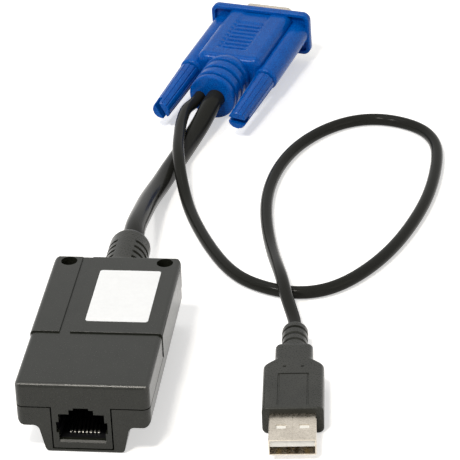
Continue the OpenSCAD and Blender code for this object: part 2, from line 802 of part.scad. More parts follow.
module cable_plug() {
    color([0.9, 0.88, 0.82]) difference() {
        translate([-header_w / 2 + gap, header_front_y + header_l, board_z - header_h + gap])
            cube([header_w - 2 * gap, plug_l, header_h - 2 * gap]);
        for (x = header_xs()) translate([x, 0, lead_z])
            rod_y(lead_d + 2 * seat_gap, header_front_y + header_l + plug_l / 2, boot_inner_y, round_fn / 2);
    }
}

module cable_leads() {
    lead_start = header_front_y + header_l + plug_l / 2;
    for (i = [0 : lead_count - 1]) color(lead_colours[i])
        translate([header_xs()[i], 0, lead_z]) rod_y(lead_d, lead_start, boot_inner_y, round_fn / 2);
}

module module_strain_relief() {
    color([0.2, 0.2, 0.19]) translate([0, 0, boot_z]) difference() {
        union() {
            rod_y(inner_flange_d, in_rear_y - inner_flange_l, in_rear_y);
            rod_y(neck_d, in_rear_y - seat_gap, rear_y + seat_gap);
            translate([0, rear_y, 0]) turned_y(concat(
                [[0, 0], [boot_base_d / 2, 0]],
                [for (i = [1 : arc_steps]) let(t = 90 * i / arc_steps)
                    [boot_base_d / 2 - (boot_base_d - boot_d) / 2 * sin(t),
                        boot_l * boot_flare_share * (1 - cos(t))]],
                [for (i = [0 : arc_steps]) let(t = 90 * i / arc_steps)
                    [boot_end_d / 2 + (boot_d - boot_end_d) / 2 * cos(t),
                        boot_l - (boot_d - boot_end_d) / 2 * (1 - sin(t))]],
                [[0, boot_l]]));
        }
        for (i = [0 : slot_count - 1]) difference() {
            rod_y(boot_base_d + 2 * over, rear_y + slot_start + i * slot_pitch,
                rear_y + slot_start + i * slot_pitch + slot_w);
            rod_y(boot_d - 2 * slot_depth, rear_y, rear_y + boot_l);
            translate([-spine_w / 2, rear_y, -boot_base_d]) cube([spine_w, boot_l, 2 * boot_base_d]);
        }
    }
}

module vga_cable() {
    start = [0, rear_y + boot_l, boot_z];
    end = vga_exit(vga_offset);
    points = concat([start, start + [0, exit_step, 0]], vga_route, [end - vga_dir() * exit_step, end]);
    color([0.2, 0.2, 0.19]) swept(rings_of(curve(points, curve_steps), start, end, vga_rings), [0, 1, 0],
        vga_dir(), vga_cable_d, vga_sides);
}

module usb_cable() {
    start = vga_exit(usb_offset);
    end = usb_exit();
    points = concat([start, start - vga_dir() * exit_step], usb_route, [end + usb_back() * exit_step, end]);
    color([0.2, 0.2, 0.19]) swept(rings_of(curve(points, curve_steps), start, end, usb_rings), -vga_dir(),
        -usb_back(), usb_cable_d, usb_sides);
}

module vga_hood() {
    color([0.02, 0.25, 0.65]) at_vga() difference() {
        union() {
            // Flange with a rim that stands back round a shallow pocket
            difference() {
                along_y(-flange_t, 0) polygon(rounded(box_points([-flange_w / 2, -flange_h / 2],
                    [flange_w / 2, flange_h / 2]), [for (i = [0 : 3]) flange_r]));
                along_y(-flange_t - over, -web_t) polygon(rounded(box_points(
                    [-flange_w / 2 + rim_w, -flange_h / 2 + rim_w],
                    [flange_w / 2 - rim_w, flange_h / 2 - rim_w]),
                    [for (i = [0 : 3]) flange_r - rim_w / 2]));
            }
            // Hood body with rounded edges along it and at the rear
            intersection() {
                along_y(-hood_l, -web_t / 2) polygon(rounded(box_points([-hood_w / 2, -hood_h / 2],
                    [hood_w / 2, hood_h / 2]), [for (i = [0 : 3]) hood_r]));
                along_x(-hood_w, hood_w) polygon(rounded(box_points([-hood_l, -hood_h / 2], [0, hood_h / 2]),
                    [hood_rear_r, 0, 0, hood_rear_r]));
            }
            // Tubes that carry the thumbscrews
            for (s = [-1, 1]) translate([s * screw_pitch / 2, 0, 0]) rod_y(tube_d, -tube_l, -web_t / 2);
            // Strain relief
            rod_y(relief_neck_d, -relief_end + over, -hood_l + hood_rear_r);
            difference() {
                translate([0, -relief_end, 0]) turned_y([[0, 0], [relief_d / 2, 0],
                    [relief_d / 2, relief_end - groove_start + groove_w],
                    [relief_neck_d / 2, relief_end - hood_l + hood_rear_r],
                    [0, relief_end - hood_l + hood_rear_r]]);
                for (i = [0 : groove_count - 1]) difference() {
                    rod_y(relief_d + 2 * over, -groove_start - i * groove_pitch - groove_w,
                        -groove_start - i * groove_pitch);
                    rod_y(relief_d - 2 * groove_depth, -relief_end, 0);
                }
            }
        }
        // Recessed grip panel on the top and the underside
        for (s = [0, 1]) mirror([0, 0, s])
            translate([-panel_w / 2, -panel_start - panel_l, hood_h / 2 - panel_depth])
            difference() {
                cube([panel_w, panel_l, hood_h]);
                for (i = [0 : rib_count - 1]) translate([-over, rib_w + i * rib_pitch, -over])
                    cube([panel_w + 2 * over, rib_w, over + rib_h]);
            }
        // Bores and ring pockets of the thumbscrews
        for (s = [-1, 1]) translate([s * screw_pitch / 2, 0, 0]) {
            rod_y(shank_d + 2 * running_gap, -tube_l - over, over);
            rod_y(ring_d + 2 * gap, -ring_y - ring_t - gap, -ring_y + knob_travel + gap);
        }
        // Seats of the metal shell and the insulator
        along_y(-plate_t, over) polygon(rounded(box_points([-plate_w / 2 - seat_gap, -plate_h / 2 - seat_gap],
            [plate_w / 2 + seat_gap, plate_h / 2 + seat_gap]), [for (i = [0 : 3]) flange_r / 2]));
        along_y(-insulator_l - plate_t, 0) square([d_wide - 2 * d_slant, d_high], center = true);
    }
}

// Outline of the D-shaped shell, drawn in by inset
module d_outline(inset) {
    w = d_wide / 2 - inset;
    h = d_high / 2 - inset;
    r = d_r - inset;
    polygon(rounded([[-w + d_slant, -h], [w - d_slant, -h], [w, h], [-w, h]], [r, r, r, r]));
}

module vga_shell() {
    color([0.75, 0.74, 0.7]) at_vga() difference() {
        union() {
            along_y(-plate_t, 0) polygon(rounded(box_points([-plate_w / 2, -plate_h / 2],
                [plate_w / 2, plate_h / 2]), [for (i = [0 : 3]) flange_r / 2]));
            along_y(-plate_t, d_out) d_outline(0);
        }
        along_y(-plate_t - over, d_out + over) d_outline(d_t);
        for (s = [-1, 1]) translate([s * screw_pitch / 2, 0, 0])
            rod_y(shank_d + 2 * gap, -plate_t - over, over);
        // Dimples pressed into the two long sides
        for (s = [-1, 1], x = dimple_shares) translate([x * d_wide, d_out * dimple_y_share,
            s * (d_high / 2 + dimple_r - dimple_depth)]) sphere(r = dimple_r, $fn = round_fn);
    }
}

module pin_places() {
    for (i = [0 : pin_cols - 1], j = [0 : pin_rows - 1])
        translate([(i - (pin_cols - 1) / 2) * pin_pitch + (j == 1 ? pin_pitch / 4 : -pin_pitch / 4),
            0, (j - (pin_rows - 1) / 2) * pin_row_pitch]) children();
}

module vga_insulator() {
    color([0.08, 0.08, 0.1]) at_vga() difference() {
        union() {
            along_y(-plate_t, plate_t) d_outline(d_t + seat_gap);
            along_y(-insulator_l - plate_t, -plate_t)
                square([d_wide - 2 * d_slant - 2 * seat_gap, d_high - 2 * seat_gap], center = true);
        }
        pin_places() rod_y(pin_d + 2 * seat_gap, -insulator_l - plate_t - over, plate_t + over, round_fn / 2);
    }
}

module vga_pins() {
    color([0.85, 0.72, 0.4]) at_vga() pin_places()
        rod_y(pin_d, -insulator_l - plate_t, pin_out, round_fn / 2);
}

// Fluted grip that tapers to its free end, with a slot across that end
module thumb_grip(s, slot_turn) {
    front = -tube_l - knob_travel - gap;
    color([0.02, 0.27, 0.68]) at_vga() translate([s * screw_pitch / 2, 0, 0]) difference() {
        translate([0, front - knob_l, 0]) turned_y([[0, 0], [(knob_tip_d - flute_d) / 2, 0],
            [knob_tip_d / 2, flute_d / 2], [knob_d / 2, knob_l], [0, knob_l]]);
        for (i = [0 : flute_count - 1]) rotate([0, 360 * (i + 1 / 2) / flute_count, 0])
            translate([knob_d / 2 + flute_d * (1 / 2 - flute_depth_share), front, 0])
            rotate([0, 0, -flute_tilt]) rod_y(flute_d, -knob_l - over, over, round_fn / 2);
        rod_y(shank_d + 2 * seat_gap, front - knob_l * grip_bore_share, front + over);
        rotate([0, slot_turn, 0]) translate([-knob_d, front - knob_l - over, -slot_wide / 2])
            cube([2 * knob_d, slot_deep + over, slot_wide]);
    }
}
module left_grip() {
    thumb_grip(-1, left_slot_turn);
}
module right_grip() {
    thumb_grip(1, right_slot_turn);
}

// Steel screw with its plain shank, ring groove and threaded nose
module thumb_screw(s) {
    front = -tube_l - knob_travel - gap;
    nose = thread_out - knob_travel;
    color([0.72, 0.72, 0.74]) at_vga() translate([s * screw_pitch / 2, 0, 0]) difference() {
        union() {
            rod_y(shank_d, front - knob_l * grip_bore_share, -thread_in);
            rod_y(undercut_d, -thread_in - over, undercut_y);
            rod_y(thread_d, undercut_y, nose);
        }
        difference() {
            rod_y(shank_d + over, -ring_y - ring_t, -ring_y);
            rod_y(shank_d - ring_bite, -tube_l, 0);
        }
    }
}
module left_screw() {
    thumb_screw(-1);
}
module right_screw() {
    thumb_screw(1);
}

// Split ring that keeps the screw in its tube
module keeper_ring(s) {
    color([0.35, 0.35, 0.37]) at_vga() translate([s * screw_pitch / 2, 0, 0]) difference() {
        rod_y(ring_d, -ring_y - ring_t + seat_gap, -ring_y - seat_gap);
        rod_y(shank_d - ring_bite + 2 * running_gap, -tube_l, 0);
        translate([-ring_bite / 2, -ring_y - ring_t, -ring_d]) cube([ring_bite, ring_t, ring_d]);
    }
}
module left_ring() {
    keeper_ring(-1);
}
module right_ring() {
    keeper_ring(1);
}

// Outline of the USB grip seen from above, from its front face
module grip_plan() {
    w = grip_w / 2;
    n = neck_w / 2;
    polygon(rounded([[-w, usb_l], [w, usb_l], [w, usb_l + grip_l], [n, usb_l + neck_start],
        [n, usb_l + neck_end], [-n, usb_l + neck_end], [-n, usb_l + neck_start], [-w, usb_l + grip_l]],
        [grip_r / 2, grip_r / 2, 2 * grip_r, 2 * grip_r, neck_r, neck_r, 2 * grip_r, 2 * grip_r]));
}

module usb_grip() {
    color([0.21, 0.21, 0.2]) at_usb() difference() {
        union() {
            intersection() {
                translate([0, 0, -grip_h / 2]) linear_extrude(grip_h) grip_plan();
                along_y(usb_l, usb_l + neck_end) polygon(rounded(box_points([-grip_w / 2, -grip_h / 2],
                    [grip_w / 2, grip_h / 2]), [for (i = [0 : 3]) grip_r]));
                along_x(-grip_w, grip_w) polygon(rounded(box_points([usb_l, -grip_h / 2],
                    [usb_l + neck_end, grip_h / 2]), [grip_r / 2, neck_r, neck_r, grip_r / 2]));
            }
            difference() {
                translate([0, usb_l + neck_end - neck_r, 0]) turned_y([[0, 0], [usb_relief_d / 2, 0],
                    [usb_relief_d / 2, usb_relief_l + neck_r - usb_rib_depth],
                    [usb_end_d / 2, usb_relief_l + neck_r], [0, usb_relief_l + neck_r]]);
                // Grooves: two whole ones and one that the middle spine crosses
                for (i = [0 : len(usb_rib_shares) - 1]) difference() {
                    rod_y(usb_relief_d + over, usb_total - usb_relief_l * usb_rib_shares[i] - usb_rib_w,
                        usb_total - usb_relief_l * usb_rib_shares[i]);
                    rod_y(usb_relief_d - 2 * usb_rib_depth, 0, usb_total);
                    if (i == 1) translate([-usb_end_d / 4, 0, -usb_relief_d])
                        cube([usb_end_d / 2, usb_total, 2 * usb_relief_d]);
                }
            }
        }
        // Thumb recess on the top and underside, and its two mould marks
        for (s = [0, 1]) mirror([0, 0, s]) {
            translate([0, 0, grip_h / 2 - thumb_depth]) linear_extrude(grip_h) polygon(rounded(
                box_points([-thumb_w / 2, usb_l + grip_r], [thumb_w / 2, usb_l + thumb_l]),
                [0, 0, grip_r / 2, grip_r / 2]));
            for (t = [-1, 1])
                translate([t * thumb_w * mark_share, usb_l + thumb_l + 2 * grip_r, grip_h / 2 - thumb_depth])
                    cylinder(d = 2 * thumb_depth, h = grip_h, $fn = round_fn / 2);
        }
        // Socket for the metal shell and the moulded core
        along_y(usb_l - over, usb_l + shell_in) square([usb_w + 2 * seat_gap, usb_h + 2 * seat_gap],
            center = true);
        along_y(usb_l, usb_l + neck_start) square([usb_w - grip_r, usb_h - usb_t], center = true);
    }
}

module usb_shell() {
    color([0.8, 0.77, 0.7]) at_usb() difference() {
        along_y(0, usb_l + shell_in) polygon(rounded(box_points([-usb_w / 2, -usb_h / 2],
            [usb_w / 2, usb_h / 2]), [for (i = [0 : 3]) usb_t]));
        along_y(-over, usb_l + shell_in + over) square([usb_w - 2 * usb_t, usb_h - 2 * usb_t], center = true);
        for (s = [-1, 1]) translate([s * hole_x - hole_w / 2, hole_y - hole_l / 2, -usb_h])
            cube([hole_w, hole_l, 2 * usb_h]);
        // Seam where the folded sheet meets, on the top
        translate([-gap / 2, -over, usb_h / 2 - usb_t / 2]) cube([gap, usb_l + over, usb_t]);
    }
}

module usb_contact_places() {
    for (x = [-usb_outer_pitch / 2, -usb_inner_pitch / 2, usb_inner_pitch / 2, usb_outer_pitch / 2])
        translate([x, 0, 0]) children();
}

module usb_insulator() {
    top = usb_h / 2 - usb_t - seat_gap;
    color([0.9, 0.9, 0.88]) at_usb() difference() {
        union() {
            translate([-usb_w / 2 + usb_t + seat_gap, usb_t, top - tongue_t])
                cube([usb_w - 2 * usb_t - 2 * seat_gap, usb_l + shell_in - usb_t, tongue_t]);
            translate([-usb_w / 2 + usb_t + seat_gap, usb_l, -top])
                cube([usb_w - 2 * usb_t - 2 * seat_gap, shell_in, 2 * top]);
        }
        usb_contact_places() translate([-usb_contact_w / 2 - seat_gap, 2 * usb_t, top - tongue_t - over])
            cube([usb_contact_w + 2 * seat_gap, usb_l + shell_in, usb_contact_t + over]);
    }
}

module usb_contacts() {
    top = usb_h / 2 - usb_t - seat_gap;
    color([0.85, 0.72, 0.4]) at_usb() usb_contact_places()
        translate([-usb_contact_w / 2, 3 * usb_t, top - tongue_t])
            cube([usb_contact_w, usb_l, usb_contact_t - seat_gap]);
}

module usb_core() {
    color([0.86, 0.85, 0.8]) at_usb() along_y(usb_l + shell_in, usb_l + neck_start)
        square([usb_w - grip_r - 2 * seat_gap, usb_h - usb_t - 2 * seat_gap], center = true);
}

bottom_cover();
top_cover();
label();
case_screws();
main_board();
socket_block();
socket_contacts();
line_filter();
driver_chip();
controller_chip();
crystal();
voltage_regulator();
can_capacitors();
chip_capacitors();
chip_resistors();
cable_header();
cable_plug();
cable_leads();
module_strain_relief();
vga_cable();
vga_hood();
vga_shell();
vga_insulator();
vga_pins();
left_grip();
right_grip();
left_screw();
right_screw();
left_ring();
right_ring();
usb_cable();
usb_grip();
usb_shell();
usb_insulator();
usb_contacts();
usb_core();
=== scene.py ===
import bpy, math
import numpy as np
from mathutils import Matrix, Vector


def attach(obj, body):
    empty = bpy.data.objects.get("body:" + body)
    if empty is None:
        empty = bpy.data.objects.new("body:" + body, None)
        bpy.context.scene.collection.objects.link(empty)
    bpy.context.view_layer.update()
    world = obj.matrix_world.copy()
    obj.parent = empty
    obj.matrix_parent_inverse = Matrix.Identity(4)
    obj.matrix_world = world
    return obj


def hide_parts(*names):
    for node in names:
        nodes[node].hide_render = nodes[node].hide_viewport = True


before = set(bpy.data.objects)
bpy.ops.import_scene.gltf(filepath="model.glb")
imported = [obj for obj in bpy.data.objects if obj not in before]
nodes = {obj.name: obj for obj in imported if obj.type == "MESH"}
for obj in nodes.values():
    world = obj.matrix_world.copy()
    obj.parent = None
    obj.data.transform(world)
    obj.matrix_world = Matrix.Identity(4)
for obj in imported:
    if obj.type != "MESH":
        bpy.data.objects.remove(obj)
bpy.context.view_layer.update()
scene = bpy.context.scene
mm = 0.001  # sizes below are in millimetres, the scene is in metres
print("stage 1: frame loaded with", len(nodes), "nodes")

# places and tilts shared by several pieces; the offsets are the two cords' places across the strain relief
videoPlug = dict(x=21.6, y=201.0, yaw=14.0, pitch=4.0, reliefD=15.0, reliefEnd=47.5, videoOffset=1.3,
                 usbOffset=-4.0)
usbPlug = dict(x=52.6, y=-32.7, z=3.9, yaw=4.5, length=55.3)
boot = dict(endY=52.5, z=12.5)

yaw, pitch = math.radians(videoPlug["yaw"]), math.radians(videoPlug["pitch"])
videoAxis = np.array([math.sin(yaw) * math.cos(pitch), math.cos(yaw) * math.cos(pitch), math.sin(pitch)])
videoSide = np.array([math.cos(yaw), -math.sin(yaw), 0.0])
videoUp = np.cross(videoSide, videoAxis)
videoHeight = videoPlug["reliefD"] / 2 * math.cos(pitch) + videoPlug["reliefEnd"] * math.sin(pitch)
videoOrigin = np.array([videoPlug["x"], videoPlug["y"], videoHeight])
usbTurn = math.radians(usbPlug["yaw"])
usbBack = np.array([-math.sin(usbTurn), math.cos(usbTurn), 0.0])
usbSide = np.array([math.cos(usbTurn), math.sin(usbTurn), 0.0])
usbOrigin = np.array([usbPlug["x"], usbPlug["y"], usbPlug["z"]])
upright = np.array([0, 0, 1.0])


# origin plus x times the side, y times the axis and z times the up direction of the video plug
def atVideo(p):
    return videoOrigin + p[..., :1] * videoSide + p[..., 1:2] * videoAxis + p[..., 2:3] * videoUp


# the same for the USB plug, whose y runs from the tip to the cable
def atUsb(p):
    return usbOrigin + p[..., :1] * usbSide + p[..., 1:2] * usbBack + p[..., 2:3] * upright


# the boot is built round its own axis and lifted to the cable's height
def atBoot(p):
    return p + np.array([0, 0, boot["z"]])


# for a piece that is built in its place
def asIs(p):
    return p


# fitted to the photograph: place in metres, angles in degrees, lens and sensor in millimetres
photoCamera = dict(place=(0.11333, -0.58004, 0.37320), azimuth=-7.696, elevation=29.107, roll=-2.547,
                   lens=207.4, sensor=36, nearest=0.02, farthest=20)


# looks along the azimuth and down by the elevation, and is then rolled about that line
def addCamera(s):
    a, e, r = (math.radians(s[k]) for k in ("azimuth", "elevation", "roll"))
    forward = np.array([math.sin(a) * math.cos(e), math.cos(a) * math.cos(e), -math.sin(e)])
    right = np.array([math.cos(a), -math.sin(a), 0.0])
    up = np.cross(right, forward)
    right, up = right * math.cos(r) + up * math.sin(r), up * math.cos(r) - right * math.sin(r)
    data = bpy.data.cameras.new("photoCamera")
    data.lens, data.sensor_width = s["lens"], s["sensor"]
    data.clip_start, data.clip_end = s["nearest"], s["farthest"]
    cam = bpy.data.objects.new("photoCamera", data)
    turn = Matrix([list(right), list(up), list(-forward)]).transposed().to_4x4()
    turn.translation = Vector(s["place"])
    cam.matrix_world = turn
    scene.collection.objects.link(cam)
    scene.camera = cam


addCamera(photoCamera)


# a noise on the given coordinates, which are stretched first where a stretch is given
def noiseNode(tree, vector, scale, detail=3.0, rough=0.6, stretch=None):
    node = tree.nodes.new("ShaderNodeTexNoise")
    node.inputs["Scale"].default_value = scale
    node.inputs["Detail"].default_value = detail
    node.inputs["Roughness"].default_value = rough
    if stretch:
        mapping = tree.nodes.new("ShaderNodeMapping")
        mapping.inputs["Scale"].default_value = stretch
        tree.links.new(vector, mapping.inputs["Vector"])
        vector = mapping.outputs["Vector"]
    tree.links.new(vector, node.inputs["Vector"])
    return node.outputs["Fac"]


# a straight run from one range onto another, held at its ends
def mapped(tree, value, low, high, fromLow=0.3, fromHigh=0.7):
    node = tree.nodes.new("ShaderNodeMapRange")
    for k, v in (("From Min", fromLow), ("From Max", fromHigh), ("To Min", low), ("To Max", high)):
        node.inputs[k].default_value = v
    tree.links.new(value, node.inputs["Value"])
    return node.outputs["Result"]


# a mix from the first colour to the second, each given as numbers or as another node's output
def tinted(tree, value, first, second):
    node = tree.nodes.new("ShaderNodeMix")
    node.data_type = "RGBA"
    for socket, colour in zip((k for k in node.inputs if k.type == "RGBA"), (first, second)):
        if isinstance(colour, bpy.types.NodeSocket):
            tree.links.new(colour, socket)
        else:
            socket.default_value = (*colour, 1)
    tree.links.new(value, node.inputs[0])
    return next(k for k in node.outputs if k.type == "RGBA")


# a sum, product or other step on numbers or on other nodes' outputs
def mathNode(tree, kind, a, b):
    node = tree.nodes.new("ShaderNodeMath")
    node.operation = kind
    for socket, v in zip(node.inputs, (a, b)):
        if isinstance(v, (int, float)):
            socket.default_value = v
        else:
            tree.links.new(v, socket)
    return node.outputs[0]


# one of the three numbers of a place, named X, Y or Z
def axisOf(tree, where, axis):
    split = tree.nodes.new("ShaderNodeSeparateXYZ")
    tree.links.new(where, split.inputs[0])
    return split.outputs[axis]


# one hue per lead, picked by its place across the board
def leadColours(tree, where, s):
    reach = len(s["leads"]) * s["leadPitch"] * mm / 2
    ramp = tree.nodes.new("ShaderNodeValToRGB")
    ramp.color_ramp.interpolation = "CONSTANT"
    stops = ramp.color_ramp.elements
    while len(stops) < len(s["leads"]):
        stops.new(0.5)
    for i, colour in enumerate(s["leads"]):
        stops[i].position = i / len(s["leads"])
        stops[i].color = (*colour, 1)
    tree.links.new(mapped(tree, axisOf(tree, where, "X"), 0, 1, -reach, reach), ramp.inputs[0])
    return ramp.outputs[0]


level = "Specular IOR Level"
# what a finish has unless it says otherwise: depth is in millimetres, and the patch values are the noise at
# which it is all dark and all light
plainFinish = {"coordinate": "Object", "stretch": None, "broadScale": 60, "broadShare": 0.5,
               "patchLow": 0.35, "patchHigh": 0.65, "bump": 0.3, "depth": 0.05}


# a finish drifts between two tones with a broad and a fine noise; its roughness follows the fine noise,
# and the fine noise also lifts the surface as grain; where a painted shade is given, the colour falls to
# that share of the dark tone between two places along y: painted shade for the dimmer light deep in a
# socket
def finish(name, given):
    s = {**plainFinish, **given}
    mat = bpy.data.materials.new(name)
    mat.use_nodes = True
    tree = mat.node_tree
    bsdf = tree.nodes["Principled BSDF"]
    where = tree.nodes.new("ShaderNodeTexCoord").outputs[s["coordinate"]]
    fine = noiseNode(tree, where, s["grainScale"], stretch=s["stretch"])
    if "leads" in s:
        colour = leadColours(tree, where, s)
    else:
        broad = noiseNode(tree, where, s["broadScale"], stretch=s["stretch"])
        both = mathNode(tree, "ADD", mathNode(tree, "MULTIPLY", broad, s["broadShare"]),
                        mathNode(tree, "MULTIPLY", fine, 1 - s["broadShare"]))
        patches = mapped(tree, both, 0, 1, s["patchLow"], s["patchHigh"])
        colour = tinted(tree, patches, s["dark"], s["light"])
    # painted shade: darker along y, in place of the light that falls off deeper in a socket
    if "paintedShade" in s:
        paintedShadeShare = mapped(tree, axisOf(tree, where, "Y"), 0, 1, s["paintedShadeFrom"] * mm, s["paintedShadeTo"] * mm)
        colour = tinted(tree, paintedShadeShare, colour, [s["paintedShade"] * v for v in s["dark"]])
    tree.links.new(colour, bsdf.inputs["Base Color"])
    tree.links.new(mapped(tree, fine, *s["rough"]), bsdf.inputs["Roughness"])
    for socket in ("Metallic", level):
        if socket in s:
            bsdf.inputs[socket].default_value = s[socket]
    bump = tree.nodes.new("ShaderNodeBump")
    bump.inputs["Strength"].default_value = s["bump"]
    bump.inputs["Distance"].default_value = s["depth"] * mm
    tree.links.new(fine, bump.inputs["Height"])
    tree.links.new(bump.outputs["Normal"], bsdf.inputs["Normal"])
    return mat


# dark and light are the two shades and rough is the range of roughness; the scales are the noises' own, in
# cycles a metre; the lead colours go across the board, a lead pitch in millimetres apart
finishes = {
    "caseCharcoal": {"dark": (0.008, 0.009, 0.006), "light": (0.017, 0.018, 0.014), "grainScale": 2400,
                     "broadScale": 200, "broadShare": 0.3, "rough": (0.20, 0.28), "bump": 0.5,
                     "depth": 0.014, level: 0.33},
    "insideBlack": {"dark": (0.004, 0.004, 0.005), "light": (0.008, 0.008, 0.009), "grainScale": 1800,
                    "rough": (0.45, 0.6), level: 0.15},
    "cordBlack": {"dark": (0.013, 0.014, 0.012), "light": (0.023, 0.023, 0.021), "grainScale": 420,
                  "rough": (0.12, 0.18), "bump": 0.1, "depth": 0.008, "coordinate": "UV",
                  "stretch": (400, 30, 1), level: 0.05},
    "mouldedBlack": {"dark": (0.018, 0.019, 0.016), "light": (0.034, 0.035, 0.030), "grainScale": 2300,
                     "broadScale": 180, "rough": (0.24, 0.34), "bump": 0.5, "depth": 0.02, level: 0.22},
    "hoodBlue": {"dark": (0.0, 0.048, 0.27), "light": (0.0, 0.120, 0.50), "grainScale": 2700,
                 "broadScale": 150, "broadShare": 0.15, "rough": (0.16, 0.28), "bump": 0.8,
                 "depth": 0.016, level: 0.13},
    "nickelPlate": {"dark": (0.50, 0.45, 0.38), "light": (0.68, 0.62, 0.53), "grainScale": 1500,
                    "broadScale": 160, "rough": (0.22, 0.36), "bump": 0.2, "depth": 0.02,
                    "Metallic": 1.0},
    "turnedSteel": {"dark": (0.50, 0.50, 0.51), "light": (0.68, 0.68, 0.69), "grainScale": 1700,
                    "rough": (0.25, 0.4), "bump": 0.25, "depth": 0.02, "Metallic": 1.0},
    "blackSteel": {"dark": (0.02, 0.02, 0.02), "light": (0.05, 0.05, 0.052), "grainScale": 1700,
                   "rough": (0.3, 0.45), "bump": 0.25, "depth": 0.02, "Metallic": 0.8},
    "goldPlate": {"dark": (0.75, 0.55, 0.22), "light": (0.90, 0.72, 0.36), "grainScale": 1500,
                  "rough": (0.2, 0.3), "bump": 0.1, "depth": 0.01, "Metallic": 1.0},
    # painted shade on the socket contacts: their colour falls to 0.05 of the dark tone from y -29.2 to
    # -27.9
    "paleGold": {"dark": (0.66, 0.64, 0.58), "light": (0.80, 0.78, 0.72), "grainScale": 1500,
                 "rough": (0.35, 0.45), "bump": 0.1, "depth": 0.01, "Metallic": 1.0, "paintedShadeFrom": -29.2,
                 "paintedShadeTo": -27.9, "paintedShade": 0.05},
    "labelFilm": {"dark": (0.79, 0.81, 0.83), "light": (0.84, 0.86, 0.88), "grainScale": 900,
                  "broadScale": 90, "rough": (0.3, 0.4), "bump": 0.1, "depth": 0.01},
    "boardGreen": {"dark": (0.010, 0.10, 0.045), "light": (0.022, 0.16, 0.075), "grainScale": 900,
                   "rough": (0.25, 0.4), "bump": 0.2, "depth": 0.03},
    "chipBlack": {"dark": (0.014, 0.014, 0.015), "light": (0.026, 0.026, 0.027), "grainScale": 2600,
                  "rough": (0.5, 0.65)},
    "canMetal": {"dark": (0.62, 0.63, 0.65), "light": (0.76, 0.77, 0.79), "grainScale": 1500,
                 "rough": (0.22, 0.34), "Metallic": 1.0},
    "sleeveBlue": {"dark": (0.03, 0.05, 0.14), "light": (0.05, 0.08, 0.2), "grainScale": 900,
                   "rough": (0.25, 0.35)},
    "ceramicTan": {"dark": (0.42, 0.32, 0.2), "light": (0.56, 0.45, 0.3), "grainScale": 2600,
                   "rough": (0.5, 0.65)},
    "nylonWhite": {"dark": (0.74, 0.73, 0.69), "light": (0.84, 0.83, 0.79), "grainScale": 1300,
                   "rough": (0.35, 0.5)},
    "leadJacket": {"leads": [(0.35, 0.03, 0.03), (0.03, 0.2, 0.05), (0.03, 0.07, 0.3),
                             (0.5, 0.5, 0.45), (0.5, 0.4, 0.04), (0.03, 0.03, 0.03)],
                   "leadPitch": 1.5, "grainScale": 900, "rough": (0.35, 0.45)},
}
made = {name: finish(name, s) for name, s in finishes.items()}

# which finish each CAD node wears
wearOf = {
    "caseCharcoal": ["bottom_cover", "top_cover"],
    "insideBlack": ["socket_block"],
    "chipBlack": ["line_filter", "driver_chip", "controller_chip", "voltage_regulator", "chip_resistors",
                  "vga_insulator"],
    "blackSteel": ["case_screws", "left_ring", "right_ring"],
    "goldPlate": ["vga_pins", "usb_contacts"],
    "paleGold": ["socket_contacts"],
    "boardGreen": ["main_board"],
    "canMetal": ["crystal"],
    "sleeveBlue": ["can_capacitors"],
    "ceramicTan": ["chip_capacitors"],
    "nylonWhite": ["cable_header", "cable_plug", "usb_insulator", "usb_core"],
    "leadJacket": ["cable_leads"],
    "nickelPlate": ["vga_shell", "usb_shell"],
    "hoodBlue": ["left_grip", "right_grip"],
    "labelFilm": ["label"],
}
for finishName, names in wearOf.items():
    for n in names:
        nodes[n].data.materials.clear()
        nodes[n].data.materials.append(made[finishName])
print("stage 2: finishes")


# points (mm) and faces go into a mesh, which is turned right side out by the sign of its volume
def pieceFrom(name, verts, faces, material, body, uv=None, sharpAngle=40):
    verts = np.asarray(verts, float)
    tri = np.array([[f[0], f[i], f[i + 1]] for f in faces for i in range(1, len(f) - 1)])
    a, b, c = (verts[tri[:, i]] for i in range(3))
    if np.einsum("ij,ij->i", a, np.cross(b, c)).sum() < 0:
        faces = [f[::-1] for f in faces]
    mesh = bpy.data.meshes.new(name)
    mesh.from_pydata((verts * mm).tolist(), [], [list(map(int, f)) for f in faces])
    mesh.polygons.foreach_set("use_smooth", np.ones(len(mesh.polygons), bool))
    if uv is not None:
        layer = mesh.uv_layers.new(name="along")
        loops = np.zeros(len(mesh.loops), int)
        mesh.loops.foreach_get("vertex_index", loops)
        layer.data.foreach_set("uv", uv[loops].ravel())
    mesh.set_sharp_from_angle(angle=math.radians(sharpAngle))
    mesh.materials.append(made[material])
    obj = bpy.data.objects.new(name, mesh)
    scene.collection.objects.link(obj)
    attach(obj, body)
    return obj


# rings is an array of closed rings of points; neighbours are joined by quads, and the two end rings are
# closed by fans round their middle points
def loftPiece(name, rings, material, body, place=asIs, uv=None, sharpAngle=40):
    count, sides = rings.shape[:2]
    i = np.arange(count - 1)[:, None]
    k = np.arange(sides)
    k2 = (k + 1) % sides
    walls = np.stack([i * sides + k, i * sides + k2, (i + 1) * sides + k2, (i + 1) * sides + k], -1)
    faces = walls.reshape(-1, 4).tolist()
    last = (count - 1) * sides
    faces += np.stack([np.full(sides, count * sides), k2, k], -1).tolist()
    faces += np.stack([np.full(sides, count * sides + 1), last + k, last + k2], -1).tolist()
    ends = np.stack([rings[0].mean(0), rings[-1].mean(0)])
    verts = place(np.vstack([rings.reshape(-1, 3), ends]))
    if uv is not None:
        uv = np.vstack([uv.reshape(-1, 2), uv[0, :1], uv[-1, :1]])
    return pieceFrom(name, verts, faces, material, body, uv, sharpAngle)


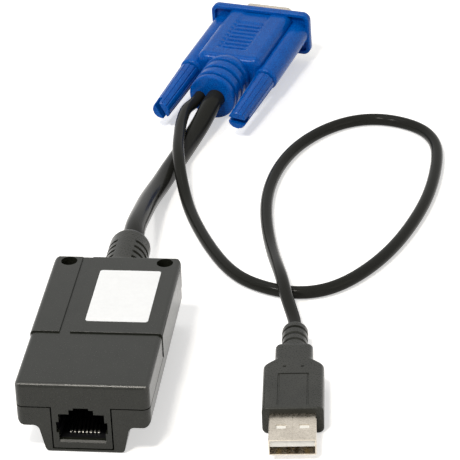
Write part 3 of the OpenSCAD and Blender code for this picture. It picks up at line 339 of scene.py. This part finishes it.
# uniform cubic B-spline with its end points reflected, so that it starts and ends on them: each stretch
# blends four neighbours with the weights (1-t)^3, 3t^3-6t^2+4, 1+3t+3t^2-3t^3 and t^3, all over six
def smoothRoute(points, steps):
    p = np.array(points, float)
    p = np.vstack([2 * p[0] - p[1], p, 2 * p[-1] - p[-2]])
    t = np.linspace(0, 1, steps, endpoint=False)[:, None]
    out = [((1 - t) ** 3 * p[i] + (3 * t ** 3 - 6 * t * t + 4) * p[i + 1]
            + (1 + 3 * t + 3 * t * t - 3 * t ** 3) * p[i + 2] + t ** 3 * p[i + 3]) / 6
           for i in range(len(p) - 3)]
    return np.vstack(out + [np.array(points[-1:], float)])


# angles once round, without the first one again at the end
def onceRound(sides):
    return np.linspace(0, 2 * np.pi, sides + 1)[:-1]


# a circle carried along the line, square to it, with its seam kept on one side
def cordTube(name, line, s, material):
    along = np.gradient(line, axis=0)
    along /= np.linalg.norm(along, axis=1, keepdims=True)
    across = np.cross(along, upright)
    across /= np.linalg.norm(across, axis=1, keepdims=True)
    over = np.cross(across, along)
    turn = onceRound(s["sides"])
    ring = np.cos(turn)[None, :, None] * across[:, None] + np.sin(turn)[None, :, None] * over[:, None]
    rings = line[:, None] + ring * s["diameter"] / 2
    run = np.r_[0, np.cumsum(np.linalg.norm(np.diff(line, axis=0), axis=1))]
    shape = (len(line), s["sides"])
    uv = np.stack([np.broadcast_to(np.abs(turn / np.pi - 1), shape),
                   np.broadcast_to(run[:, None] * mm, shape)], -1)
    return loftPiece(name, rings, material, "module", uv=uv)


# the middles of both cords as read from the photograph, from the boot and from the hood's strain relief on
videoCord = dict(diameter=6.0, sides=28, exitStep=5.0, curveSteps=14, route=[
    (-0.5, 63, 12), (-0.5, 70.5, 10.7), (-0.5, 78.5, 9), (-0.5, 87.5, 7.1), (0, 96.5, 5.2), (1, 105.5, 3.8),
    (2, 114, 3.2), (3.5, 121.5, 3.1), (5, 129.5, 3.2), (6.8, 136.5, 4), (8.7, 143, 5.5)])
usbCord = dict(diameter=3.6, sides=24, exitStep=5.0, curveSteps=16, route=[
    (3.3, 146.5, 8), (3, 140.5, 8.2), (3, 134, 8.2), (3.5, 127.5, 8.1), (4, 121, 8.1), (5, 114.5, 7.8),
    (6.2, 108, 6.3), (8, 101.5, 3.9), (10, 95, 2.1), (12.5, 87.5, 1.9), (16, 78.5, 1.9), (20, 69.5, 1.9),
    (25, 60, 1.9), (30.5, 53, 1.9), (37.5, 48.5, 1.9), (45, 46, 1.9), (52.5, 47, 1.9), (59.5, 52, 1.9),
    (66.5, 62, 1.9), (72, 73.5, 1.9), (76.5, 87.5, 1.9), (80, 103, 1.9), (81.5, 119, 1.9), (81.5, 133, 1.9),
    (79.5, 141, 1.9), (75.5, 147.5, 1.9), (68, 152, 1.9), (60, 153.5, 1.9), (51.5, 150.5, 1.9),
    (43, 142, 1.9), (36.5, 129.5, 1.9), (33, 114, 1.9), (32.5, 98, 1.9), (34.5, 83, 1.9), (36.5, 73, 2.2),
    (38.5, 63.5, 3.4), (40.5, 55, 5), (42.5, 47, 6), (44, 40, 5.5), (46, 33.5, 4.5)])
reliefFace = videoOrigin - videoAxis * videoPlug["reliefEnd"]
videoStart = np.array([0, boot["endY"], boot["z"]])
videoEnd = reliefFace + videoSide * videoPlug["videoOffset"]
usbStart = reliefFace + videoSide * videoPlug["usbOffset"]
usbEnd = usbOrigin + usbBack * usbPlug["length"]
videoLine = smoothRoute([videoStart, videoStart + [0, videoCord["exitStep"], 0], *videoCord["route"],
                         videoEnd - videoAxis * videoCord["exitStep"], videoEnd], videoCord["curveSteps"])
usbLine = smoothRoute([usbStart, usbStart - videoAxis * usbCord["exitStep"], *usbCord["route"],
                       usbEnd + usbBack * usbCord["exitStep"], usbEnd], usbCord["curveSteps"])
videoCable = cordTube("videoCable", videoLine, videoCord, "cordBlack")
usbCable = cordTube("usbCable", usbLine, usbCord, "cordBlack")
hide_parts("vga_cable")
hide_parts("usb_cable")
print("stage 3: cables")


# once round a rounded rectangle: each row holds the share of the half width and half height that the
# corner centre takes, and the outward direction; flatX and flatZ are places on the flats, from -1 to 1
def sectionParts(flatX, flatZ, arc):
    rows = []
    for n, (sx, sz) in enumerate([(1, 1), (-1, 1), (-1, -1), (1, -1)]):
        turn = np.radians(90 * n + 90 * np.arange(arc + 1) / arc)
        rows += [(sx, sz, math.cos(t), math.sin(t)) for t in turn]
        if n % 2 == 0:
            rows += [(-x * sz, sz, 0, sz) for x in flatX[1:-1]]
        else:
            rows += [(sx, z * sx, sx, 0) for z in flatZ[1:-1]]
    return np.array(rows)


# one ring for each y: corner centres at the half sizes less the radius, plus the radius outwards
def sectionRings(parts, y, halfW, halfH, radius):
    given = (np.atleast_1d(np.asarray(v, float)) for v in (y, halfW, halfH, radius))
    y, halfW, halfH, radius = np.broadcast_arrays(*given)
    cx, cz, nx, nz = parts.T
    x = cx * (halfW - radius)[:, None] + nx * radius[:, None]
    z = cz * (halfH - radius)[:, None] + nz * radius[:, None]
    return np.stack([x, np.broadcast_to(y[:, None], x.shape), z], -1)


# places from low to high, a step apart, with a pair, its width apart, at each edge; a plain place nearer to
# the pair than the clear share of that width is left out
def spread(low, high, step, edges=(), width=0.12, clear=0.6):
    base = np.linspace(low, high, max(2, int(round((high - low) / step)) + 1))
    extra = [e + s * width / 2 for e in edges for s in (-1, 1) if low < e < high]
    keep = [b for b in base if all(abs(b - e) > clear * width for e in extra) or b in (low, high)]
    return np.unique(np.round(np.r_[keep, extra], 5))


# 1 between low and high, 0 outside, with a ramp of twice soft at each side
def between(v, low, high, soft):
    return np.clip((v - low) / (2 * soft) + 0.5, 0, 1) * np.clip((high - v) / (2 * soft) + 0.5, 0, 1)


# how far a section draws in at a distance from its end, for a quarter round of that radius
def roundedEnd(distance, radius):
    d = np.clip(distance, 0, radius)
    return radius - np.sqrt(np.maximum(radius ** 2 - (radius - d) ** 2, 0))


# places along a rounded edge, close together at the edge itself; a negative radius runs backwards
def rolled(edge, radius, steps):
    return edge + radius * (1 - np.cos(np.linspace(0, np.pi / 2, steps)))


# how far the section draws in at those places
def rolledDraw(radius, steps):
    return radius * (1 - np.sin(np.linspace(0, np.pi / 2, steps)))


# moves the points of the flat top and underside inwards by the depth; flat is how upright a face has to be
def pressIn(rings, parts, depth, flat=0.99):
    rings[..., 2] -= depth * (np.abs(parts[:, 3]) > flat) * np.sign(rings[..., 2])
    return rings


# the radius carried once round the local y axis, whose middle lies at x; it may differ round the turn
def turnedRings(y, r, x=0.0, sides=96):
    turn = onceRound(sides)
    r = np.broadcast_to(r if r.ndim == 2 else r[:, None], (len(y), sides))
    return np.stack([x + r * np.cos(turn), np.broadcast_to(y[:, None], r.shape), r * np.sin(turn)], -1)


bootShape = dict(flangeR=5.7, flangeY=28.4, neckR=4.7, wallY=30.4, rearY=32.0, baseR=6.5, bodyR=5.7,
                 endR=3.6, flareL=4.5, slots=5, slotStart=2.3, slotPitch=2.75, slotW=0.95, slotDepth=1.6,
                 slotSoft=0.1, edgeW=0.2, spineHalf=27.0, spineSoft=3.0, step=0.3, sides=144)


# radius along the axis: a flared foot, a straight body and a domed end, less the slots, which cut in on
# both sides and leave a spine above and below
def bootRings(s):
    starts = [s["rearY"] + s["slotStart"] + i * s["slotPitch"] for i in range(s["slots"])]
    slotEdges = [a + k * s["slotW"] for a in starts for k in (0, 1)]
    outer = spread(s["rearY"], boot["endY"], s["step"], slotEdges, s["edgeW"])
    flare = (s["baseR"] - s["bodyR"]) * np.clip(1 - (outer - s["rearY"]) / s["flareL"], 0, 1) ** 2
    dome = roundedEnd(boot["endY"] - outer, s["bodyR"] - s["endR"])
    radius = s["bodyR"] + flare - dome
    # 0 above and below, 90 at the sides
    fromSpine = np.degrees(np.abs(np.arcsin(np.cos(onceRound(s["sides"])))))
    side = np.clip((fromSpine - s["spineHalf"]) / s["spineSoft"], 0, 1)
    cut = np.max([between(outer, a, a + s["slotW"], s["slotSoft"]) for a in starts], axis=0)
    outside = radius[:, None] - s["slotDepth"] * cut[:, None] * side[None, :]
    inside = np.repeat([[s["flangeR"]], [s["flangeR"]], [s["neckR"]], [s["neckR"]]], s["sides"], axis=1)
    r = np.vstack([inside, outside])
    return turnedRings(np.r_[s["flangeY"], s["wallY"], s["wallY"], s["rearY"], outer], r, sides=s["sides"])


bootPiece = loftPiece("strainReliefBoot", bootRings(bootShape), "mouldedBlack", "module", atBoot,
                      sharpAngle=50)
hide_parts("module_strain_relief")

gripShape = dict(front=12.0, wide=33.3, neck=36.4, end=43.8, halfW=7.9, neckHalf=4.95, halfH=3.9,
                 edgeR=1.5, frontR=0.6, endR=1.3, shoulderIn=0.6, shoulderL=1.0, panelHalf=4.0,
                 panelEnd=28.6, panelFront=13.6, lineW=0.45, lineDepth=0.3, dotY=31.9, dotX=2.35,
                 dotR=0.38, dotDepth=0.4, soft=0.05, step=0.28, edgeW=0.1, rollSteps=8, flatStep=0.05,
                 flatEdgeW=0.015, sideStep=0.4, arc=10, heightDraw=0.9, edgeMost=0.9)
gripRelief = dict(start=42.6, end=usbPlug["length"], radius=3.5, endR=2.9, grooves=(46.4, 49.4, 52.6),
                  grooveW=1.0, depth=0.75, dipGain=1.6, step=0.22, sides=72)


# half width falls from the wide part to the neck along a smooth step; both ends are rounded over; a thin
# line and two dots are pressed into the top and the underside
def gripRings(s):
    lines = [s["panelFront"], s["panelEnd"] - s["lineW"], s["panelEnd"],
             s["dotY"] - s["dotR"], s["dotY"] + s["dotR"]]
    y = np.unique(np.r_[spread(s["front"], s["end"], s["step"], lines, s["edgeW"]),
                        rolled(s["front"], s["frontR"], s["rollSteps"]),
                        rolled(s["end"], -s["endR"], s["rollSteps"])])
    t = np.clip((y - s["wide"] + s["shoulderIn"]) / (s["neck"] - s["wide"] + s["shoulderL"]), 0, 1)
    draw = roundedEnd(y - s["front"], s["frontR"]) + roundedEnd(s["end"] - y, s["endR"])
    halfW = s["halfW"] + (s["neckHalf"] - s["halfW"]) * t * t * (3 - 2 * t) - draw
    halfH = s["halfH"] - draw * s["heightDraw"]
    across = (s["panelHalf"], s["panelHalf"] - s["lineW"], s["dotX"] - s["dotR"], s["dotX"] + s["dotR"])
    edges = [k * v / (s["halfW"] - s["edgeR"]) for k in (-1, 1) for v in across]
    flat = spread(-1, 1, s["flatStep"], edges, s["flatEdgeW"])
    parts = sectionParts(flat, spread(-1, 1, s["sideStep"]), s["arc"])
    rings = sectionRings(parts, y, halfW, halfH, np.minimum(s["edgeR"], halfH * s["edgeMost"]))
    across, along = np.abs(rings[..., 0]), rings[..., 1]
    sideLine = (between(across, s["panelHalf"] - s["lineW"], s["panelHalf"], s["soft"])
                * between(along, s["panelFront"], s["panelEnd"], s["soft"]))
    endLine = (between(across, -1, s["panelHalf"], s["soft"])
               * between(along, s["panelEnd"] - s["lineW"], s["panelEnd"], s["soft"]))
    dot = np.hypot(across - s["dotX"], along - s["dotY"]) < s["dotR"]
    pressed = np.maximum(np.maximum(sideLine, endLine) * s["lineDepth"], dot * s["dotDepth"])
    return pressIn(rings, parts, pressed)


# a rod with grooves, each a cosine dip, and a rounded end
def gripReliefRings(s):
    y = spread(s["start"], s["end"], s["step"])
    away = np.abs(y[:, None] - np.array(s["grooves"])) / s["grooveW"]
    dip = np.where(away < 0.5, np.minimum(1, s["dipGain"] * np.cos(np.pi * away)), 0).max(1)
    r = s["radius"] - s["depth"] * dip - roundedEnd(s["end"] - y, s["radius"] - s["endR"])
    return turnedRings(y, r, sides=s["sides"])


usbGrip = loftPiece("usbGrip", gripRings(gripShape), "mouldedBlack", "module", atUsb, sharpAngle=35)
usbGripRelief = loftPiece("usbGripRelief", gripReliefRings(gripRelief), "mouldedBlack", "module", atUsb,
                          sharpAngle=50)
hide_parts("usb_grip")
print("stage 4: boot and USB grip")

hoodShape = dict(front=-1.0, rear=-32.5, halfW=10.75, halfH=6.2, edgeR=2.5, rearR=2.4, panelHalf=4.4,
                 panelMid=-0.6, panelFront=-1.6, panelRear=-26.8, panelDepth=0.35, ribFirst=-25.4,
                 ribPitch=2.4, ribW=1.15, ribs=7, ribDip=0.4, soft=0.1, step=0.5, edgeW=0.2, rollSteps=9,
                 flatStep=0.08, flatEdgeW=0.03, sideStep=0.25, arc=10, edgeDraw=0.3, edgeLeast=0.6)
flangeShape = dict(front=0.0, rear=-2.5, halfW=16.75, halfH=7.3, cornerR=2.5, cornerLeast=0.8, softR=0.5,
                   rim=1.2, webDraw=0.1, web=-1.3, seatHalfW=15.45, seatHalfH=6.25, seatR=1.3, seat=-0.85,
                   rollSteps=5, flatStep=0.2, sideStep=0.4, arc=12)
tubeShape = dict(front=-1.0, rear=-33.4, radius=3.78, softR=1.1, boreR=1.78, boreL=3.0, x=12.5,
                 rollSteps=8, sides=64)
screwShape = dict(start=-49.3, end=4.6, shankR=1.7, shankEnd=-3.0, undercutR=1.15, undercutEnd=0.3,
                  threadR=1.42, pitch=0.635, threadDepth=0.34, crest=1.6, ringLow=-27.6, ringHigh=-27.0,
                  ringR=1.3, lead=0.5, leadShare=0.6, step=0.07, sides=36)
hoodRelief = dict(start=-30.0, end=-videoPlug["reliefEnd"], radius=videoPlug["reliefD"] / 2, neckR=5.6,
                  neckEnd=-34.6, softR=0.7, grooves=(-36.1, -40.5, -44.9), grooveW=1.4, depth=2.0,
                  steep=2.6, shoulderW=0.8, shoulder=0.3, step=0.12)


# a rounded box along the plug, its rear edge rolled over; a shallow panel is sunk into the top and the
# underside, and between its ribs the floor dips further
def hoodRings(s):
    ribEdges = [s["ribFirst"] + i * s["ribPitch"] + k * s["ribW"] for i in range(s["ribs"]) for k in (0, 1)]
    lines = [s["panelFront"], s["panelRear"], *ribEdges]
    y = np.unique(np.r_[spread(s["rear"], s["front"], s["step"], lines, s["edgeW"]),
                        rolled(s["rear"], s["rearR"], s["rollSteps"])])
    draw = roundedEnd(y - s["rear"], s["rearR"])
    edges = [(s["panelMid"] + k * s["panelHalf"]) / (s["halfW"] - s["edgeR"]) for k in (-1, 1)]
    flat = spread(-1, 1, s["flatStep"], edges, s["flatEdgeW"])
    parts = sectionParts(flat, spread(-1, 1, s["sideStep"]), s["arc"])
    rings = sectionRings(parts, y, s["halfW"] - draw, s["halfH"] - draw,
                         np.maximum(s["edgeR"] - draw * s["edgeDraw"], s["edgeLeast"]))
    along = rings[..., 1]
    sunk = between(rings[..., 0] - s["panelMid"], -s["panelHalf"], s["panelHalf"], s["soft"])
    depth = s["panelDepth"] * sunk * between(along, s["panelRear"], s["panelFront"], s["soft"])
    ribEnd = s["ribFirst"] + s["ribs"] * s["ribPitch"]
    grooved = between(along, s["ribFirst"] - s["ribW"], ribEnd, s["soft"])
    for i in range(s["ribs"]):
        at = s["ribFirst"] + i * s["ribPitch"]
        grooved = grooved - between(along, at, at + s["ribW"], s["soft"])
    depth = depth + s["ribDip"] * sunk * np.clip(grooved, 0, 1)
    return pressIn(rings, parts, depth)


# a rounded plate: the sunk back, its rim, a soft edge, the outer wall, a soft edge, and the sunk seat of
# the metal plate in the front
def flangeRings(s):
    y = np.r_[s["web"], s["rear"], rolled(s["rear"], s["softR"], s["rollSteps"]),
              rolled(s["front"], -s["softR"], s["rollSteps"])[::-1]]
    soft = rolledDraw(s["softR"], s["rollSteps"])
    draw = np.r_[s["rim"] + s["webDraw"], s["rim"], soft, soft[::-1]]
    parts = sectionParts(spread(-1, 1, s["flatStep"]), spread(-1, 1, s["sideStep"]), s["arc"])
    halfW = np.r_[s["halfW"] - draw, s["seatHalfW"], s["seatHalfW"]]
    halfH = np.r_[s["halfH"] - draw, s["seatHalfH"], s["seatHalfH"]]
    cornerR = np.r_[np.maximum(s["cornerR"] - draw, s["cornerLeast"]), s["seatR"], s["seatR"]]
    return sectionRings(parts, np.r_[y, s["front"], s["seat"]], halfW, halfH, cornerR)


# a neck that swells along a quarter of a sine out of the hood, then a rod whose grooves are flat-bottomed
# parabolas with shoulders that fall off by the square
def hoodReliefRings(s):
    y = spread(s["end"], s["start"], s["step"])
    rise = np.clip((s["start"] - y) / (s["start"] - s["neckEnd"]), 0, 1)
    away = np.abs(y[:, None] - np.array(s["grooves"])) / (s["grooveW"] / 2)
    dip = np.clip(s["steep"] * (1 - away ** 2), 0, 1).max(1)
    shoulder = (np.clip(1 - (away - 1) / s["shoulderW"], 0, 1) * (away >= 1)).max(1)
    r = s["neckR"] + (s["radius"] - s["neckR"]) * np.sin(rise * np.pi / 2)
    cut = s["depth"] * dip + s["shoulder"] * shoulder ** 2 + roundedEnd(y - s["end"], s["softR"])
    return turnedRings(y, r - cut)


# a tube with a rolled rear edge and the bore's mouth behind it
def tubeRings(s, x):
    y = np.r_[s["rear"] + s["boreL"], s["rear"], rolled(s["rear"], s["softR"], s["rollSteps"]), s["front"]]
    soft = rolledDraw(s["softR"], s["rollSteps"])
    r = np.r_[s["boreR"], s["boreR"], s["radius"] - soft, s["radius"]]
    return turnedRings(y, r, x, s["sides"])


# a shank with the groove of the retaining ring, an undercut, and a nose with a thread of 40 turns an inch,
# which runs left-handed: the depth of the cut is a triangle wave of the height over the pitch less the
# share of the turn, flat between the cuts, and the tip is rounded over
def screwRings(s, x):
    corners = np.array([
        (s["start"], s["shankR"]), (s["ringLow"], s["shankR"]), (s["ringLow"], s["ringR"]),
        (s["ringHigh"], s["ringR"]), (s["ringHigh"], s["shankR"]), (s["shankEnd"], s["shankR"]),
        (s["shankEnd"], s["undercutR"]), (s["undercutEnd"], s["undercutR"])])
    noseY = spread(s["undercutEnd"], s["end"], s["step"])
    share = onceRound(s["sides"]) / (2 * np.pi)
    fromCut = np.abs((noseY[:, None] / s["pitch"] - share) % 1 - 0.5) * 2
    cut = s["threadDepth"] * np.clip(1 - s["crest"] * fromCut, 0, 1)
    tip = roundedEnd(s["end"] - noseY, s["lead"]) * s["leadShare"]
    nose = s["threadR"] - np.maximum(cut, tip[:, None])
    plain = np.repeat(corners[:, 1:], s["sides"], axis=1)
    return turnedRings(np.r_[corners[:, 0], noseY], np.vstack([plain, nose]), x, s["sides"])


for sideName, sideX in (("left", -tubeShape["x"]), ("right", tubeShape["x"])):
    screw = loftPiece(sideName + "Jackscrew", screwRings(screwShape, sideX), "turnedSteel",
                      sideName + "_thumbscrew", atVideo, sharpAngle=35)
    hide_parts(sideName + "_screw")

# rings and the sharpest angle that is still shaded smooth
hoodForms = {
    "hoodBody": (hoodRings(hoodShape), 50),
    "hoodFlange": (flangeRings(flangeShape), 50),
    "hoodRelief": (hoodReliefRings(hoodRelief), 60),
    "hoodTubeLeft": (tubeRings(tubeShape, -tubeShape["x"]), 50),
    "hoodTubeRight": (tubeRings(tubeShape, tubeShape["x"]), 50),
}
hoodPieces = [loftPiece(name, rings, "hoodBlue", "module", atVideo, sharpAngle=angle)
              for name, (rings, angle) in hoodForms.items()]
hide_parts("vga_hood")

print("stage 5: video hood")

paperFloor = dict(size=3.0, colour=(0.86, 0.86, 0.86), light=(0.877, 0.877, 0.877), glow=0.5,
                  grainScale=900)


# white paper with a faint grain, which also glows a little for the camera and in reflections, so that it
# stays as white as its surroundings and keeps the shadow
def addFloor(s):
    half = s["size"] / 2
    mesh = bpy.data.meshes.new("floor")
    corners = [(-half, -half, 0), (half, -half, 0), (half, half, 0), (-half, half, 0)]
    mesh.from_pydata(corners, [], [(0, 1, 2, 3)])
    mat = bpy.data.materials.new("floorPaper")
    mat.use_nodes = True
    tree = mat.node_tree
    tree.nodes.remove(tree.nodes["Principled BSDF"])
    diffuse = tree.nodes.new("ShaderNodeBsdfDiffuse")
    coord = tree.nodes.new("ShaderNodeTexCoord")
    grain = noiseNode(tree, coord.outputs["Object"], s["grainScale"])
    tree.links.new(tinted(tree, grain, s["colour"], s["light"]), diffuse.inputs["Color"])
    paths = tree.nodes.new("ShaderNodeLightPath")
    seen = mathNode(tree, "MAXIMUM", paths.outputs["Is Camera Ray"], paths.outputs["Is Glossy Ray"])
    glow = tree.nodes.new("ShaderNodeEmission")
    tree.links.new(mathNode(tree, "MULTIPLY", seen, s["glow"]), glow.inputs["Strength"])
    both = tree.nodes.new("ShaderNodeAddShader")
    tree.links.new(diffuse.outputs[0], both.inputs[0])
    tree.links.new(glow.outputs[0], both.inputs[1])
    tree.links.new(both.outputs[0], tree.nodes["Material Output"].inputs["Surface"])
    mesh.materials.append(mat)
    floor = bpy.data.objects.new("floor", mesh)
    scene.collection.objects.link(floor)


studioWorld = dict(light=0.28, seen=1.0)


# white as seen by the camera, in reflections and through clear pieces, and dimmer as a light
def setWorld(s):
    world = bpy.data.worlds.new("studio")
    scene.world = world
    world.use_nodes = True
    tree = world.node_tree
    background = tree.nodes["Background"]
    background.inputs["Color"].default_value = (1, 1, 1, 1)
    paths = tree.nodes.new("ShaderNodeLightPath")
    seen = mathNode(tree, "MAXIMUM", paths.outputs["Is Camera Ray"], paths.outputs["Is Transmission Ray"])
    seen = mathNode(tree, "MAXIMUM", seen, paths.outputs["Is Glossy Ray"])
    tree.links.new(mapped(tree, seen, s["light"], s["seen"], 0, 1), background.inputs["Strength"])


lampAim = (0.03, 0.06, 0.0)
lamps = {
    "overheadSoftbox": dict(place=(-0.15, 0.20, 0.76), size=0.40, watts=1.0, colour=(1, 0.99, 0.97)),
    "leftSoftbox": dict(place=(-0.383, -0.28, 0.61), size=0.09, watts=2.0, colour=(1, 0.98, 0.95)),
    "frontSoftbox": dict(place=(-0.09, -0.33, 0.69), size=0.11, watts=2.9, colour=(1, 0.95, 0.87)),
    "rightFill": dict(place=(0.72, -0.14, 0.30), size=0.45, watts=0.8, colour=(1, 0.90, 0.78)),
}


# a square softbox turned towards the object
def addLamp(name, s):
    data = bpy.data.lights.new(name, "AREA")
    data.shape, data.size, data.energy, data.color = "SQUARE", s["size"], s["watts"], s["colour"]
    lamp = bpy.data.objects.new(name, data)
    lamp.location = s["place"]
    lamp.rotation_euler = (Vector(lampAim) - Vector(s["place"])).to_track_quat("-Z", "Y").to_euler()
    scene.collection.objects.link(lamp)


addFloor(paperFloor)
setWorld(studioWorld)
for lampName, lampSettings in lamps.items():
    addLamp(lampName, lampSettings)
scene.view_settings.view_transform = "Standard"
print("stage 6: floor, world and lamps")
